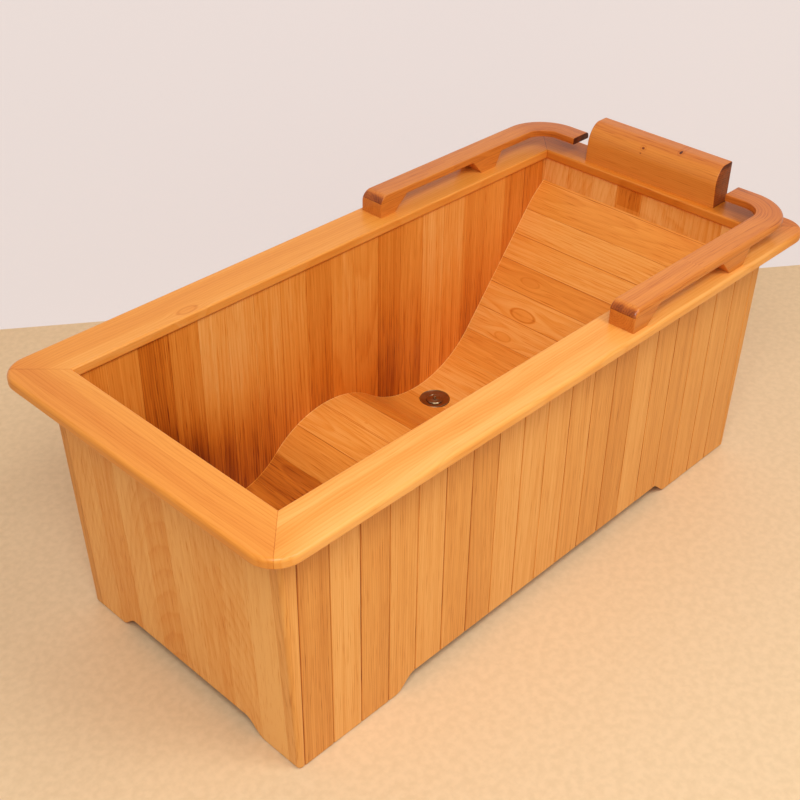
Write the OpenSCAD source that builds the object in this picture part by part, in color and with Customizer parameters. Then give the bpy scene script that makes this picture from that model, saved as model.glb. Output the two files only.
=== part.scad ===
// Wooden soaking tub with a reclining seat, mitred rim, handrails and headrest.
// Millimetres. Z is up, X runs from the foot end (-) to the head end (+), and the
// origin is on the floor under the middle of the rim. "Near" is -Y, "far" is +Y.

/* [Overall] */
// Height of the rim's top above the floor
tub_height = 600; // [520:5:680]
// Outside length of the rim
rim_length = 1610; // [1500:10:1750]
// Outside width of the rim
rim_width = 782; // [720:1:840]

/* [Rim] */
// Width of the four mitred rim boards
rim_board_w = 103; // [92:1:110]
// Thickness of the rim boards
rim_board_t = 22; // [20:1:32]
// Plan radius of the rim's outer corners
rim_corner_r = 60; // [45:1:75]
// Round on the rim's outer top edge
rim_top_r = 8; // [4:0.5:10]
// Round on the rim's outer lower edge
rim_low_r = 5; // [2:0.5:8]
// Round on the rim's inner edges
rim_inner_r = 4; // [1:0.5:6]
// Length of the loose spline in each mitre
spline_len = 56; // [30:1:64]
// Width of a mitre spline across the joint
spline_w = 24; // [12:1:36]
// Thickness of a mitre spline
spline_t = 4; // [3:0.5:6]

/* [Walls] */
// Thickness of the staves and end boards
wall_t = 28; // [24:1:32]
// How far the rim stands out past the long walls
side_overhang = 68; // [56:1:74]
// How far the rim stands out past the end walls at their top
end_overhang = 68; // [56:1:74]
// How far each end wall leans in from its top down to the floor
end_lean = 24; // [10:1:30]
// Number of full staves in a long wall
stave_count = 19; // [17:1:21]
// Width of the tapered strip at each corner, at its top
corner_strip_w = 38; // [34:1:46]
// Number of boards in an end wall
end_board_count = 8; // [6:1:9]
// Depth of the V on the outside of a stave joint
vee = 1.8; // [1:0.1:3]
// Thickness of the tongues between boards
tongue_t = 8; // [5:0.5:10]
// Length of the tongues between boards
tongue_len = 6; // [4:0.5:8]
// Round on the four leaning corner edges
corner_edge_r = 9; // [4:0.5:12]

/* [Feet] */
// Height of the skirt's lower edge between the feet
skirt_z = 36; // [28:1:44]
// Length of a foot along the long wall, at the floor
side_foot_len = 256; // [230:1:270]
// Length of a foot along the end wall, at the floor
end_foot_len = 99; // [90:1:104]
// Length of the reversed curve between foot and skirt
ogee_w = 50; // [40:1:56]
// Diameter of a floor glide
glide_d = 18; // [12:1:20]
// Thickness of a floor glide
glide_h = 4; // [3:0.5:6]
// Round on a glide's lower edge
glide_r = 1.5; // [0.5:0.25:2]

/* [Seat curve] */
// Thickness of the seat, floor and back boards
board_t = 22; // [18:1:24]
// Height of the seat's lowest line
seat_low_z = 100; // [96:1:120]
// Height of the flat floor at the foot end
foot_floor_z = 87; // [84:1:104]
// Rise of the knee crest above the seat's lowest line
knee_rise = 106; // [90:1:120]
// Height where the back meets the head wall
back_top_z = 517; // [490:1:550]
// Radius of the hollow that is sat in
seat_r = 248; // [225:1:270]
// Radius of the knee crest
knee_r = 228; // [200:1:250]
// Radius between the knee's foot side and the floor
foot_r = 184; // [160:1:210]
// Slope of the straight back, in degrees from level
back_angle = 51.5; // [47:0.5:56]
// Radius of the shoulder, where the back eases over
shoulder_r = 300; // [240:5:360]
// Slope at the back's top end, in degrees from level
shoulder_angle = 35; // [30:0.5:44]
// Boards in the flat floor
floor_boards = 5; // [4:1:6]
// Boards in the curve up from the floor
ramp_boards = 2; // [1:1:3]
// Boards over the knee crest
knee_boards = 4; // [3:1:5]
// Boards in the hollow
seat_boards = 5; // [4:1:6]
// Boards in the straight back
back_boards = 5; // [4:1:6]
// Height of the cleats and bearers under the boards
cleat_h = 24; // [18:1:26]
// Thickness of a cleat, out from the wall
cleat_t = 20; // [14:1:24]
// Width of the bearers that cross under the boards
bearer_w = 60; // [40:1:80]

/* [Handrails] */
// Width of a handrail
rail_w = 54; // [46:1:60]
// Height of a handrail's top above the rim
rail_h = 54; // [48:1:62]
// Set-back of a handrail from the rim's long edge
rail_side_set = 12; // [4:1:18]
// Set-back of a handrail's hook from the rim's head edge
rail_end_set = 47; // [36:1:50]
// Distance of a handrail's front end past the middle of the tub
rail_front_x = 146; // [120:1:180]
// Length of the front foot on the rim
rail_foot_len = 44; // [34:1:54]
// Clearance under a handrail between foot and post
rail_gap_front = 26; // [20:1:30]
// Clearance under a handrail behind the post
rail_gap_rear = 34; // [28:1:40]
// Start of the post on the rim, past the middle of the tub
post_x = 488; // [470:1:510]
// Length of the post on the rim
post_len = 45; // [36:1:56]
// How far each end of a foot or post flares out under the rail
flare = 30; // [20:1:36]
// Outer radius of the bend at the head corner
rail_bend_r = 130; // [110:1:150]
// Straight length of the hook past the bend
hook_len = 38; // [20:1:50]
// Round on a handrail's top edges
rail_edge_r = 8; // [3:0.5:12]
// Round on the front end's top
rail_nose_r = 22; // [10:1:28]

/* [Headrest] */
// Width of the headrest
rest_w = 370; // [320:5:390]
// Height of the headrest above the rim
rest_h = 96; // [80:1:110]
// Thickness of the headrest on the rim
rest_t = 60; // [56:1:64]
// Set-back of the headrest from the rim's inner edge
rest_set = 16; // [8:1:18]
// Radius of the headrest's swelling front
rest_front_r = 220; // [180:10:400]
// Radius of the headrest's rounded top edge
rest_top_r = 38; // [34:1:44]
// Slope of the headrest's ends, inward per height
rest_slope = 0.05; // [0:0.01:0.1]
// Diameter of the dowels in handrails and headrest
dowel_d = 12; // [8:0.5:14]
// Length of those dowels
dowel_len = 32; // [24:1:34]

/* [Drain] */
// Distance of the drain's axis from the far wall's inner face
drain_from_wall = 70; // [62:1:95]
// Diameter of the drain's flange
flange_d = 75; // [68:1:80]
// Diameter of the threaded outlet
outlet_d = 41.9; // [38:0.1:44]
// Bore of the outlet
outlet_bore = 35; // [30:0.5:36]
// Height of the outlet's open end above the floor
outlet_z = 40; // [38:0.5:44]
// Length of the outlet's free thread, which takes the waste pipe
outlet_len = 20; // [16:0.5:20]
// Depth of the run-out groove above that thread
runout_d = 1; // [0.8:0.1:1.5]
// Diameter of the lifting plug
plug_d = 40; // [38.5:0.5:42]
// Lift of the plug from shut to open
plug_lift = 10; // [6:0.5:12]
// Diameter of the plug's stem
stem_d = 8; // [6:0.5:9]
// Diameter of the locknut under the seat
locknut_d = 62; // [56:1:66]
// Thickness of the locknut
locknut_h = 12; // [8:1:14]

/* [Fits] */
// Glue line between neighbouring boards
joint_gap = 0.2; // [0.1:0.05:0.4]
// Clearance of an inner board to the walls
fit_gap = 0.3; // [0.2:0.05:0.4]
// Radial clearance of the stem in its guide
stem_clear = 0.05; // [0.03:0.01:0.1]

/* [Hidden] */
$fn = 120;
FAR = 3000;

// Rim and walls
rim_z0 = tub_height - rim_board_t;
half_l = rim_length / 2;
half_w = rim_width / 2;
inner_x = half_l - rim_board_w;
wall_y1 = half_w - side_overhang;
wall_y0 = wall_y1 - wall_t;
wall_x1 = half_l - end_overhang;
lean_angle = atan(end_lean / rim_z0);
groove_x = wall_x1 - corner_strip_w;
stave_w = 2 * groove_x / stave_count;
end_span = wall_y0 - fit_gap;
end_board_w = 2 * end_span / end_board_count;
function end_outer(z) = wall_x1 - end_lean * (1 - z / rim_z0);
function end_inner(z) = end_outer(z) - wall_t;

// Feet
foot_rise = skirt_z - glide_h;
ogee_steps = 16;
side_foot_x = end_outer(0) - side_foot_len;
end_foot_y = wall_y1 - end_foot_len;

// Seat curve, worked from the head wall down to the flat floor
crest_z = seat_low_z + knee_rise;
seat_knee_a = acos(1 - knee_rise / (seat_r + knee_r));
knee_foot_a = acos(1 - (crest_z - foot_floor_z) / (knee_r + foot_r));
back_top = [end_inner(back_top_z), back_top_z];
shoulder_c = back_top + shoulder_r * [sin(shoulder_angle), -cos(shoulder_angle)];
back_p2 = shoulder_c + shoulder_r * [-sin(back_angle), cos(back_angle)];
back_drop = back_p2[1] - seat_low_z - seat_r * (1 - cos(back_angle));
back_len = back_drop / sin(back_angle);
back_p1 = back_p2 - back_len * [cos(back_angle), sin(back_angle)];
seat_c = back_p1 + seat_r * [-sin(back_angle), cos(back_angle)];
knee_c = seat_c - (seat_r + knee_r) * [sin(seat_knee_a), cos(seat_knee_a)];
foot_c = knee_c + (knee_r + foot_r) * [-sin(knee_foot_a), cos(knee_foot_a)];
floor_x0 = -end_inner(foot_floor_z);
floor_x1 = foot_c[0];
seat_half_w = wall_y0 - fit_gap;
cleat_off = board_t + joint_gap;

// Handrails
rail_y1 = half_w - rail_side_set;
rail_y0 = rail_y1 - rail_w;
hook_x1 = half_l - rail_end_set;
hook_x0 = hook_x1 - rail_w;
bend_c = [hook_x1 - rail_bend_r, rail_y1 - rail_bend_r];
rail_top = tub_height + rail_h;
rail_low1 = tub_height + rail_gap_front;
rail_low2 = tub_height + rail_gap_rear;
hook_y = bend_c[1] - hook_len;
rail_mid_y = (rail_y0 + rail_y1) / 2;
dowel_pair = rail_w / 2 - dowel_d;
foot_dowel_x = rail_front_x + rail_foot_len / 2;
post_dowel_x = post_x + post_len / 2;
rail_dowel_places = [for (x = [foot_dowel_x, post_dowel_x], s = [-1, 1])
    [x, rail_mid_y + s * dowel_pair / 2]];

// Headrest
rest_x0 = inner_x + rest_set;
rest_x1 = rest_x0 + rest_t;
rest_top = tub_height + rest_h;
rest_cz = tub_height + 5;
rest_c = [rest_x0 + rest_front_r, rest_cz];
rest_lift = rest_h - rest_top_r - (rest_cz - tub_height);
rest_tip_a = asin(rest_lift / (rest_front_r - rest_top_r));
rest_tip = rest_c + (rest_front_r - rest_top_r) * [-cos(rest_tip_a), sin(rest_tip_a)];
rest_in = rest_slope * (rest_h + 1);
rest_dowel_x = (rest_x0 + rest_x1) / 2;
rest_dowel_y = rest_w / 2 - 60;
rest_dowel_places = [for (s = [-1, 0, 1]) [rest_dowel_x, s * rest_dowel_y]];

// Drain, set at the lowest line of the seat
drain_x = seat_c[0];
drain_y = wall_y0 - drain_from_wall;
pocket_d = flange_d + 1;
pocket_z = seat_low_z - 2;
gasket_t = 1.5;
flange_z = pocket_z + gasket_t;
flange_top = flange_z + 3;
neck_d = plug_d + 7;
neck_z = flange_z - 10;
drain_hole_d = neck_d + 1;
well_r = plug_d / 2 + 0.6;
ledge_z = flange_z - 3.5;
land_z = seat_low_z - board_t + 2;
land_d = locknut_d + 4;
washer_t = 2;
seal_t = 2.2;
seal_z = ledge_z + fit_gap;
plug_z = seal_z + seal_t;
plug_t = 3.5;
dome_h = 2;
knob_z = plug_z + plug_t + dome_h;
hub_z0 = flange_z - 28;
hub_z1 = hub_z0 + 8;
hub_d = stem_d + 8;
stop_t = 4;
runout_w = 3;
stop_z = hub_z0 - plug_lift - fit_gap;

// Places a flat shape drawn in X and Z between two values of Y
module slab_y(y0, y1) {
    translate([0, y1, 0]) rotate([90, 0, 0]) linear_extrude(y1 - y0) children();
}

// Places a flat shape drawn in Y and Z between two values of X
module slab_x(x0, x1) {
    translate([x0, 0, 0]) rotate([90, 0, 90]) linear_extrude(x1 - x0) children();
}

// Square-cornered piece that a round of radius r takes off the corner at the origin,
// where the material lies towards -x and -y
module corner_waste(r) {
    difference() {
        translate([-r, -r]) square(r + 1);
        translate([-r, -r]) circle(r);
    }
}

// Part of a flat ring between two polar angles
module ring_sector(centre, r_in, r_out, a0, a1) {
    reach = 2 * r_out;
    mid = (a0 + a1) / 2;
    translate(centre) intersection() {
        difference() {
            circle(r_out);
            circle(r_in);
        }
        polygon([[0, 0], reach * [cos(a0), sin(a0)], reach * [cos(mid), sin(mid)],
            reach * [cos(a1), sin(a1)]]);
    }
}

// Space between the leaning end walls, in X and Z
module between_ends() {
    polygon([[-end_inner(0) + fit_gap, 0], [end_inner(0) - fit_gap, 0],
        [end_inner(rim_z0) - fit_gap, rim_z0], [-end_inner(rim_z0) + fit_gap, rim_z0]]);
}

// Points of the reversed curve from a foot's end at x up to the skirt's edge
function ogee(x) = [for (i = [0:ogee_steps]) [x - ogee_w * i / ogee_steps,
    glide_h + foot_rise * (1 - cos(180 * i / ogee_steps)) / 2]];

// Space under a skirt between two feet, x is the feet's inner ends at the floor
module skirt_cut(x) {
    right = ogee(x);
    left = [for (i = [ogee_steps:-1:0]) [-right[i][0], right[i][1]]];
    polygon(concat([[x, -1]], right, left, [[-x, -1]]));
}

// Section of a rim board: x = 0 is the inner edge and x = rim_board_w the outer one
module rim_section() {
    difference() {
        square([rim_board_w, rim_board_t]);
        translate([rim_board_w, rim_board_t]) corner_waste(rim_top_r);
        translate([rim_board_w, 0]) mirror([0, 1]) corner_waste(rim_low_r);
        translate([0, rim_board_t]) mirror([1, 0]) corner_waste(rim_inner_r);
        mirror([1, 0]) mirror([0, 1]) corner_waste(rim_inner_r);
    }
}

// Section of the round corner, from its centre to the rim's outer edge
module rim_corner_section() {
    difference() {
        square([rim_corner_r, rim_board_t]);
        translate([rim_corner_r, rim_board_t]) corner_waste(rim_top_r);
        translate([rim_corner_r, 0]) mirror([0, 1]) corner_waste(rim_low_r);
    }
}

// Space between the two mitres of a rim board
module mitre_prism(half, edge) {
    inner = half - rim_board_w;
    translate([0, 0, rim_z0 - 1]) linear_extrude(rim_board_t + 2)
        polygon([[-inner, edge - rim_board_w], [inner, edge - rim_board_w],
            [half, edge], [-half, edge]]);
}

// Half of a mitred rim board along X, with its outer edge towards +Y. half is the
// rim's half length along this board, and edge is its half width across it.
module half_rim_board(half, edge) {
    turn_x = half - rim_corner_r;
    intersection() {
        union() {
            translate([0, edge - rim_board_w, rim_z0]) slab_x(0, turn_x) rim_section();
            translate([turn_x, edge - rim_corner_r, rim_z0])
                rotate_extrude(angle = 180) rim_corner_section();
        }
        mitre_prism(half, edge);
    }
}

// Whole rim board, slotted at both mitres
module rim_board(half, edge) {
    difference() {
        union() {
            half_rim_board(half, edge);
            mirror([1, 0, 0]) half_rim_board(half, edge);
        }
        for (side = [-1, 1]) spline_block(half, edge, side, joint_gap / 2);
    }
}

// Spline, or its slot with a clearance, centred on the mitre towards side
module spline_block(half, edge, side, clear) {
    inset = (rim_board_w + 0.42 * rim_corner_r) / 2;
    translate([side * (half - inset), edge - inset, rim_z0 + rim_board_t / 2])
        rotate([0, 0, side * 45])
        cube([spline_len + 2 * clear, spline_w + 2 * clear, spline_t + 2 * clear], center = true);
}

// Far rim board, drilled for the handrail's dowels
module long_rim_board() {
    difference() {
        rim_board(half_l, half_w);
        dowel_holes(rail_dowel_places);
    }
}

module rim_near() {
    color("#e6a862") mirror([0, 1, 0]) long_rim_board();
}

module rim_far() {
    color("#e3a45c") long_rim_board();
}

module rim_foot() {
    color("#e8ab66") rotate([0, 0, 90]) rim_board(half_w, half_l);
}

module rim_head() {
    color("#e0a05a") difference() {
        rotate([0, 0, -90]) rim_board(half_w, half_l);
        dowel_holes(rest_dowel_places);
    }
}

// Loose splines that lock the four mitres
module rim_splines() {
    color("#b98748") for (side = [-1, 1]) {
        spline_block(half_l, half_w, side, 0);
        mirror([0, 1, 0]) spline_block(half_l, half_w, side, 0);
    }
}

// Section of a stave: x along the wall, y from the outer face inwards
module stave_section(tongue, groove) {
    a = joint_gap / 2;
    b = stave_w - joint_gap / 2;
    y0 = (wall_t - tongue_t) / 2;
    y1 = (wall_t + tongue_t) / 2;
    clear = joint_gap / 2;
    difference() {
        union() {
            polygon([[a + vee, 0], [b - vee, 0], [b, vee], [b, wall_t], [a, wall_t], [a, vee]]);
            if (tongue) translate([b - 1, y0]) square([tongue_len + 1, y1 - y0]);
        }
        if (groove) translate([a - 1, y0 - clear])
            square([tongue_len + 1 + clear, y1 - y0 + 2 * clear]);
    }
}

// Staves from the first to the last number in a long wall, towards -Y
module staves(first, last) {
    difference() {
        for (k = [first:last]) translate([-groove_x + (k - 1) * stave_w, -wall_y1, glide_h])
            linear_extrude(rim_z0 - glide_h)
                stave_section(k < stave_count, k > 1);
        slab_y(-wall_y1 - 1, -wall_y0 + 1) skirt_cut(side_foot_x);
    }
}

// Staves that reach down to form a foot
foot_staves = ceil((groove_x - side_foot_x + ogee_w) / stave_w - 0.2);

module near_foot_staves() {
    color("#d9964f") staves(1, foot_staves);
}

module near_skirt_staves() {
    color("#dd9c55") staves(foot_staves + 1, stave_count - foot_staves);
}

module near_head_staves() {
    color("#d89550") staves(stave_count - foot_staves + 1, stave_count);
}

module far_foot_staves() {
    color("#d4904a") mirror([0, 1, 0]) staves(1, foot_staves);
}

module far_skirt_staves() {
    color("#c9803c") mirror([0, 1, 0]) staves(foot_staves + 1, stave_count - foot_staves);
}

module far_head_staves() {
    color("#d18c46") mirror([0, 1, 0]) staves(stave_count - foot_staves + 1, stave_count);
}

// Section of the leaning head wall in X and Z, from depth d0 to d1 behind its outer face
module lean_section(d0, d1) {
    polygon([[end_outer(glide_h) - d1, glide_h], [end_outer(glide_h) - d0, glide_h],
        [end_outer(rim_z0) - d0, rim_z0], [end_outer(rim_z0) - d1, rim_z0]]);
}

// Boards of the head wall, tongued into each other
module end_boards() {
    t0 = (wall_t - tongue_t) / 2;
    t1 = (wall_t + tongue_t) / 2;
    clear = joint_gap / 2;
    difference() {
        for (k = [1:end_board_count]) {
            y0 = -end_span + (k - 1) * end_board_w + (k > 1 ? joint_gap / 2 : 0);
            y1 = -end_span + k * end_board_w - (k < end_board_count ? joint_gap / 2 : 0);
            difference() {
                union() {
                    slab_y(y0, y1) lean_section(0, wall_t);
                    if (k < end_board_count) slab_y(y1 - 1, y1 + tongue_len) lean_section(t0, t1);
                }
                if (k > 1) slab_y(y0 - 1, y0 + tongue_len + clear)
                    lean_section(t0 - clear, t1 + clear);
            }
        }
        slab_x(end_inner(0) - 1, end_outer(rim_z0) + 1) skirt_cut(end_foot_y);
    }
}

module head_end_boards() {
    color("#d8944c") end_boards();
}

module foot_end_boards() {
    color("#d9964f") mirror([1, 0, 0]) end_boards();
}

// Tapered strip that closes the head corner of the far long wall, with its edge rounded
module corner_strip() {
    x0 = groove_x + joint_gap / 2;
    reach = 2 * corner_strip_w;
    intersection() {
        slab_y(wall_y0, wall_y1) polygon([[x0, glide_h], [end_outer(glide_h), glide_h],
            [end_outer(rim_z0), rim_z0], [x0, rim_z0]]);
        translate([wall_x1, wall_y1, rim_z0]) rotate([0, lean_angle, 0])
            translate([0, 0, -rim_z0 - reach]) linear_extrude(rim_z0 + 2 * reach) difference() {
                translate([-reach, -reach]) square(reach);
                corner_waste(corner_edge_r);
            }
        translate([0, 0, -1]) linear_extrude(rim_z0 + 2) polygon([[x0, 0],
            [x0, wall_y1 - vee], [x0 + vee, wall_y1], [FAR, wall_y1], [FAR, 0]]);
    }
}

module corner_strip_head_far() {
    color("#dd9c55") corner_strip();
}

module corner_strip_head_near() {
    color("#dd9c55") mirror([0, 1, 0]) corner_strip();
}

module corner_strip_foot_far() {
    color("#d9964f") mirror([1, 0, 0]) corner_strip();
}

module corner_strip_foot_near() {
    color("#d9964f") mirror([1, 0, 0]) mirror([0, 1, 0]) corner_strip();
}

// Board number k of n in an arc of the seat. a0 to a1 are polar angles on the surface,
// and hollow tells whether the surface is inside the curve.
module arc_board(centre, r, a0, a1, n, k, hollow, top, depth) {
    step = (a1 - a0) / n;
    slack = sign(step) * joint_gap / 2 / r * 180 / PI;
    r0 = hollow ? r + top : r - top - depth;
    ring_sector(centre, r0, r0 + depth, a0 + (k - 1) * step + slack, a0 + k * step - slack);
}

// Board number k of n along the straight back
module line_board(n, k, top, depth) {
    along = [cos(back_angle), sin(back_angle)];
    down = [sin(back_angle), -cos(back_angle)];
    step = back_len / n;
    p = back_p1 + ((k - 1) * step + joint_gap / 2) * along;
    q = back_p1 + (k * step - joint_gap / 2) * along;
    polygon([p + top * down, q + top * down, q + (top + depth) * down, p + (top + depth) * down]);
}

// Board number k of n in the flat floor
module flat_board(n, k, top, depth) {
    step = (floor_x1 - floor_x0) / n;
    x0 = k == 1 ? floor_x0 - wall_t : floor_x0 + (k - 1) * step + joint_gap / 2;
    x1 = floor_x0 + k * step - joint_gap / 2;
    translate([x0, foot_floor_z - top - depth]) square([x1 - x0, depth]);
}

// Flat shapes of the six stretches of the seat, at a depth under its surface
module floor_shape(n, k, top, depth) {
    flat_board(n, k, top, depth);
}

module ramp_shape(n, k, top, depth) {
    arc_board(foot_c, foot_r, -90, -90 + knee_foot_a, n, k, true, top, depth);
}

module knee_shape(n, k, top, depth) {
    arc_board(knee_c, knee_r, 90 + knee_foot_a, 90 - seat_knee_a, n, k, false, top, depth);
}

module seat_shape(n, k, top, depth) {
    arc_board(seat_c, seat_r, -90 - seat_knee_a, -90 + back_angle, n, k, true, top, depth);
}

module shoulder_shape(top, depth) {
    reach = shoulder_angle - 12;
    arc_board(shoulder_c, shoulder_r, 90 + back_angle, 90 + reach, 1, 1, false, top, depth);
}

// Carries a seat shape across the tub, trimmed to the leaning end walls
module across(y0, y1) {
    slab_y(y0, y1) intersection() {
        children();
        between_ends();
    }
}

module floor_board(k) {
    color("#c97f3a") across(-seat_half_w, seat_half_w) floor_shape(floor_boards, k, 0, board_t);
}

module ramp_board(k) {
    color("#d0853e") across(-seat_half_w, seat_half_w) ramp_shape(ramp_boards, k, 0, board_t);
}

module knee_board(k) {
    color("#dc9247") across(-seat_half_w, seat_half_w) knee_shape(knee_boards, k, 0, board_t);
}

// A seat board, cut for the drain's flange, neck and locknut
module seat_board(k) {
    color("#df9547") difference() {
        across(-seat_half_w, seat_half_w) seat_shape(seat_boards, k, 0, board_t);
        translate([drain_x, drain_y, pocket_z]) cylinder(d = pocket_d, h = board_t);
        translate([drain_x, drain_y, land_z - board_t]) cylinder(d = drain_hole_d, h = 2 * board_t);
        translate([drain_x, drain_y, land_z - board_t]) cylinder(d = land_d, h = board_t);
    }
}

module back_board(k) {
    color("#e0984c") across(-seat_half_w, seat_half_w) line_board(back_boards, k, 0, board_t);
}

module shoulder_board() {
    color("#e39b4e") across(-seat_half_w, seat_half_w) shoulder_shape(0, board_t);
}

// Cleats on the far wall that follow the seat's curve under its boards
module cleats() {
    y0 = seat_half_w - cleat_t;
    across(y0, seat_half_w) floor_shape(1, 1, cleat_off, cleat_h);
    across(y0, seat_half_w) ramp_shape(1, 1, cleat_off, cleat_h);
    across(y0, seat_half_w) knee_shape(1, 1, cleat_off, cleat_h);
    across(y0, seat_half_w) seat_shape(1, 1, cleat_off, cleat_h);
    across(y0, seat_half_w) line_board(1, 1, cleat_off, cleat_h);
    across(y0, seat_half_w) shoulder_shape(cleat_off, cleat_h);
}

module cleats_far() {
    color("#b97a3c") cleats();
}

module cleats_near() {
    color("#b97a3c") mirror([0, 1, 0]) cleats();
}

// Half length of a bearer, between the two rows of cleats
bearer_y = seat_half_w - cleat_t - joint_gap;

module floor_bearers() {
    span = floor_x1 - floor_x0;
    color("#b97a3c") for (part = [0.3, 0.75])
        translate([floor_x0 + part * span - bearer_w / 2, -bearer_y,
            foot_floor_z - cleat_off - cleat_h])
            cube([bearer_w, 2 * bearer_y, cleat_h]);
}

module back_bearers() {
    color("#b97a3c") for (part = [0.25, 0.75])
        translate([back_p1[0], 0, back_p1[1]]) rotate([0, -back_angle, 0])
            translate([part * back_len - bearer_w / 2, -bearer_y, -cleat_off - cleat_h])
                cube([bearer_w, 2 * bearer_y, cleat_h]);
}

// Side view of a handrail's straight part in X and Z
module rail_side() {
    nose = [rail_front_x + rail_nose_r, rail_top - rail_nose_r];
    foot_x = rail_front_x + rail_foot_len;
    post_x1 = post_x + post_len;
    z0 = tub_height;
    circle_side = 2 * rail_nose_r;
    difference() {
        translate([rail_front_x, z0]) square([bend_c[0] - rail_front_x, rail_h]);
        polygon([[foot_x, z0 - 1], [foot_x, z0], [foot_x + flare, rail_low1],
            [post_x - flare, rail_low1], [post_x, z0], [post_x, z0 - 1]]);
        polygon([[post_x1, z0 - 1], [post_x1, z0], [post_x1 + flare, rail_low2],
            [FAR, rail_low2], [FAR, z0 - 1]]);
        difference() {
            translate([rail_front_x - 1, nose[1]]) square([rail_nose_r + 1, circle_side]);
            translate(nose) circle(rail_nose_r);
        }
    }
}

// Section of a handrail above height z, between widths w0 and w1
module rail_section(w0, w1, z) {
    difference() {
        translate([w0, z]) square([w1 - w0, rail_top - z]);
        translate([w1, rail_top]) corner_waste(rail_edge_r);
        translate([w0, rail_top]) mirror([1, 0]) corner_waste(rail_edge_r);
    }
}

// Handrail on the far side: foot, straight rail, post, bend and open hook
module handrail() {
    difference() {
        union() {
            intersection() {
                slab_y(rail_y0, rail_y1) rail_side();
                slab_x(0, bend_c[0]) rail_section(rail_y0, rail_y1, tub_height - 1);
            }
            translate([bend_c[0], bend_c[1], 0]) rotate_extrude(angle = 90)
                rail_section(rail_bend_r - rail_w, rail_bend_r, rail_low2);
            slab_y(hook_y, bend_c[1]) rail_section(hook_x0, hook_x1, rail_low2);
        }
        dowel_holes(rail_dowel_places);
    }
}

// Upright dowels at these places, half in the rim and half above it
module dowels(places) {
    for (p = places) translate([p[0], p[1], tub_height - dowel_len / 2])
        cylinder(d = dowel_d, h = dowel_len);
}

// Holes for those dowels, with a glue clearance
module dowel_holes(places) {
    for (p = places) translate([p[0], p[1], tub_height - dowel_len / 2 - 0.5])
        cylinder(d = dowel_d + joint_gap, h = dowel_len + 1);
}

module handrail_far() {
    color("#c87b41") handrail();
}

module handrail_near() {
    color("#c87b41") mirror([0, 1, 0]) handrail();
}

// Front, top and back of the headrest in X and Z
module rest_shape() {
    reach = 2 * rest_front_r;
    intersection() {
        translate([rest_x0, tub_height]) square([rest_t, rest_h]);
        union() {
            intersection() {
                translate(rest_c) circle(rest_front_r);
                polygon([rest_tip, rest_tip + reach * [-cos(rest_tip_a), sin(rest_tip_a)],
                    rest_tip + [-reach, -reach], rest_tip + [reach, -reach], rest_tip + [reach, 0]]);
            }
            translate(rest_tip) circle(rest_top_r);
            translate([rest_tip[0], tub_height]) square([rest_t, rest_h]);
        }
    }
}

module headrest() {
    color("#cf8440") difference() {
        intersection() {
            slab_y(-rest_w / 2, rest_w / 2) rest_shape();
            slab_x(rest_x0 - 1, rest_x1 + 1) polygon([[-rest_w / 2, tub_height],
                [rest_w / 2, tub_height], [rest_w / 2 - rest_in, rest_top + 1],
                [-rest_w / 2 + rest_in, rest_top + 1]]);
        }
        dowel_holes(rest_dowel_places);
    }
}

module headrest_dowels() {
    color("#c9a36a") dowels(rest_dowel_places);
}

module handrail_dowels() {
    color("#c9a36a") {
        dowels(rail_dowel_places);
        mirror([0, 1, 0]) dowels(rail_dowel_places);
    }
}

// Flange, neck and threaded outlet in one turning, with the guide for the stem
module drain_flange() {
    r = flange_d / 2;
    color("#5b3417") translate([drain_x, drain_y, 0]) {
        difference() {
            rotate_extrude() polygon([[outlet_bore / 2, ledge_z], [well_r, ledge_z],
                [well_r, flange_z - 0.4], [r - 3, flange_top - 0.9], [r - 1.6, flange_top],
                [r - 0.6, flange_top - 0.3], [r, flange_top - 1.2], [r, flange_z],
                [neck_d / 2, flange_z], [neck_d / 2, neck_z], [outlet_d / 2, neck_z],
                [outlet_d / 2, outlet_z], [outlet_bore / 2, outlet_z]]);
            drain_runout();
        }
        difference() {
            union() {
                translate([0, 0, hub_z0]) cylinder(d = hub_d, h = hub_z1 - hub_z0);
                for (a = [0, 120, 240]) rotate([0, 0, a]) translate([0, -1.5, hub_z0 + 2])
                    cube([outlet_bore / 2 + 1, 3, hub_z1 - hub_z0 - 4]);
            }
            translate([0, 0, hub_z0 - 1]) cylinder(d = stem_d + 2 * stem_clear, h = 10);
        }
    }
}

// Groove between the locknut's thread and the free thread
module drain_runout() {
    translate([0, 0, outlet_z + outlet_len]) difference() {
        cylinder(d = outlet_d + 2, h = runout_w);
        translate([0, 0, -1]) cylinder(d = outlet_d - 2 * runout_d, h = runout_w + 2);
    }
}

// Flat ring around the drain's axis
module drain_ring(z, h, d_in, d_out) {
    translate([drain_x, drain_y, z]) difference() {
        cylinder(d = d_out, h = h);
        translate([0, 0, -1]) cylinder(d = d_in, h = h + 2);
    }
}

module drain_gasket() {
    color("#2b2a28") drain_ring(pocket_z, gasket_t, drain_hole_d, flange_d - 1);
}

module drain_washer() {
    color("#3a3835") drain_ring(land_z - washer_t, washer_t, outlet_d + 1, locknut_d);
}

// Locknut with six notches for a wrench
module drain_locknut() {
    z = land_z - washer_t - locknut_h;
    color("#6a4a2a") difference() {
        drain_ring(z, locknut_h, outlet_d + joint_gap, locknut_d);
        for (a = [0:60:300]) translate([drain_x, drain_y, z - 1]) rotate([0, 0, a])
            translate([locknut_d / 2 - 3, -4, 0]) cube([6, 8, locknut_h + 2]);
    }
}

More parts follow.
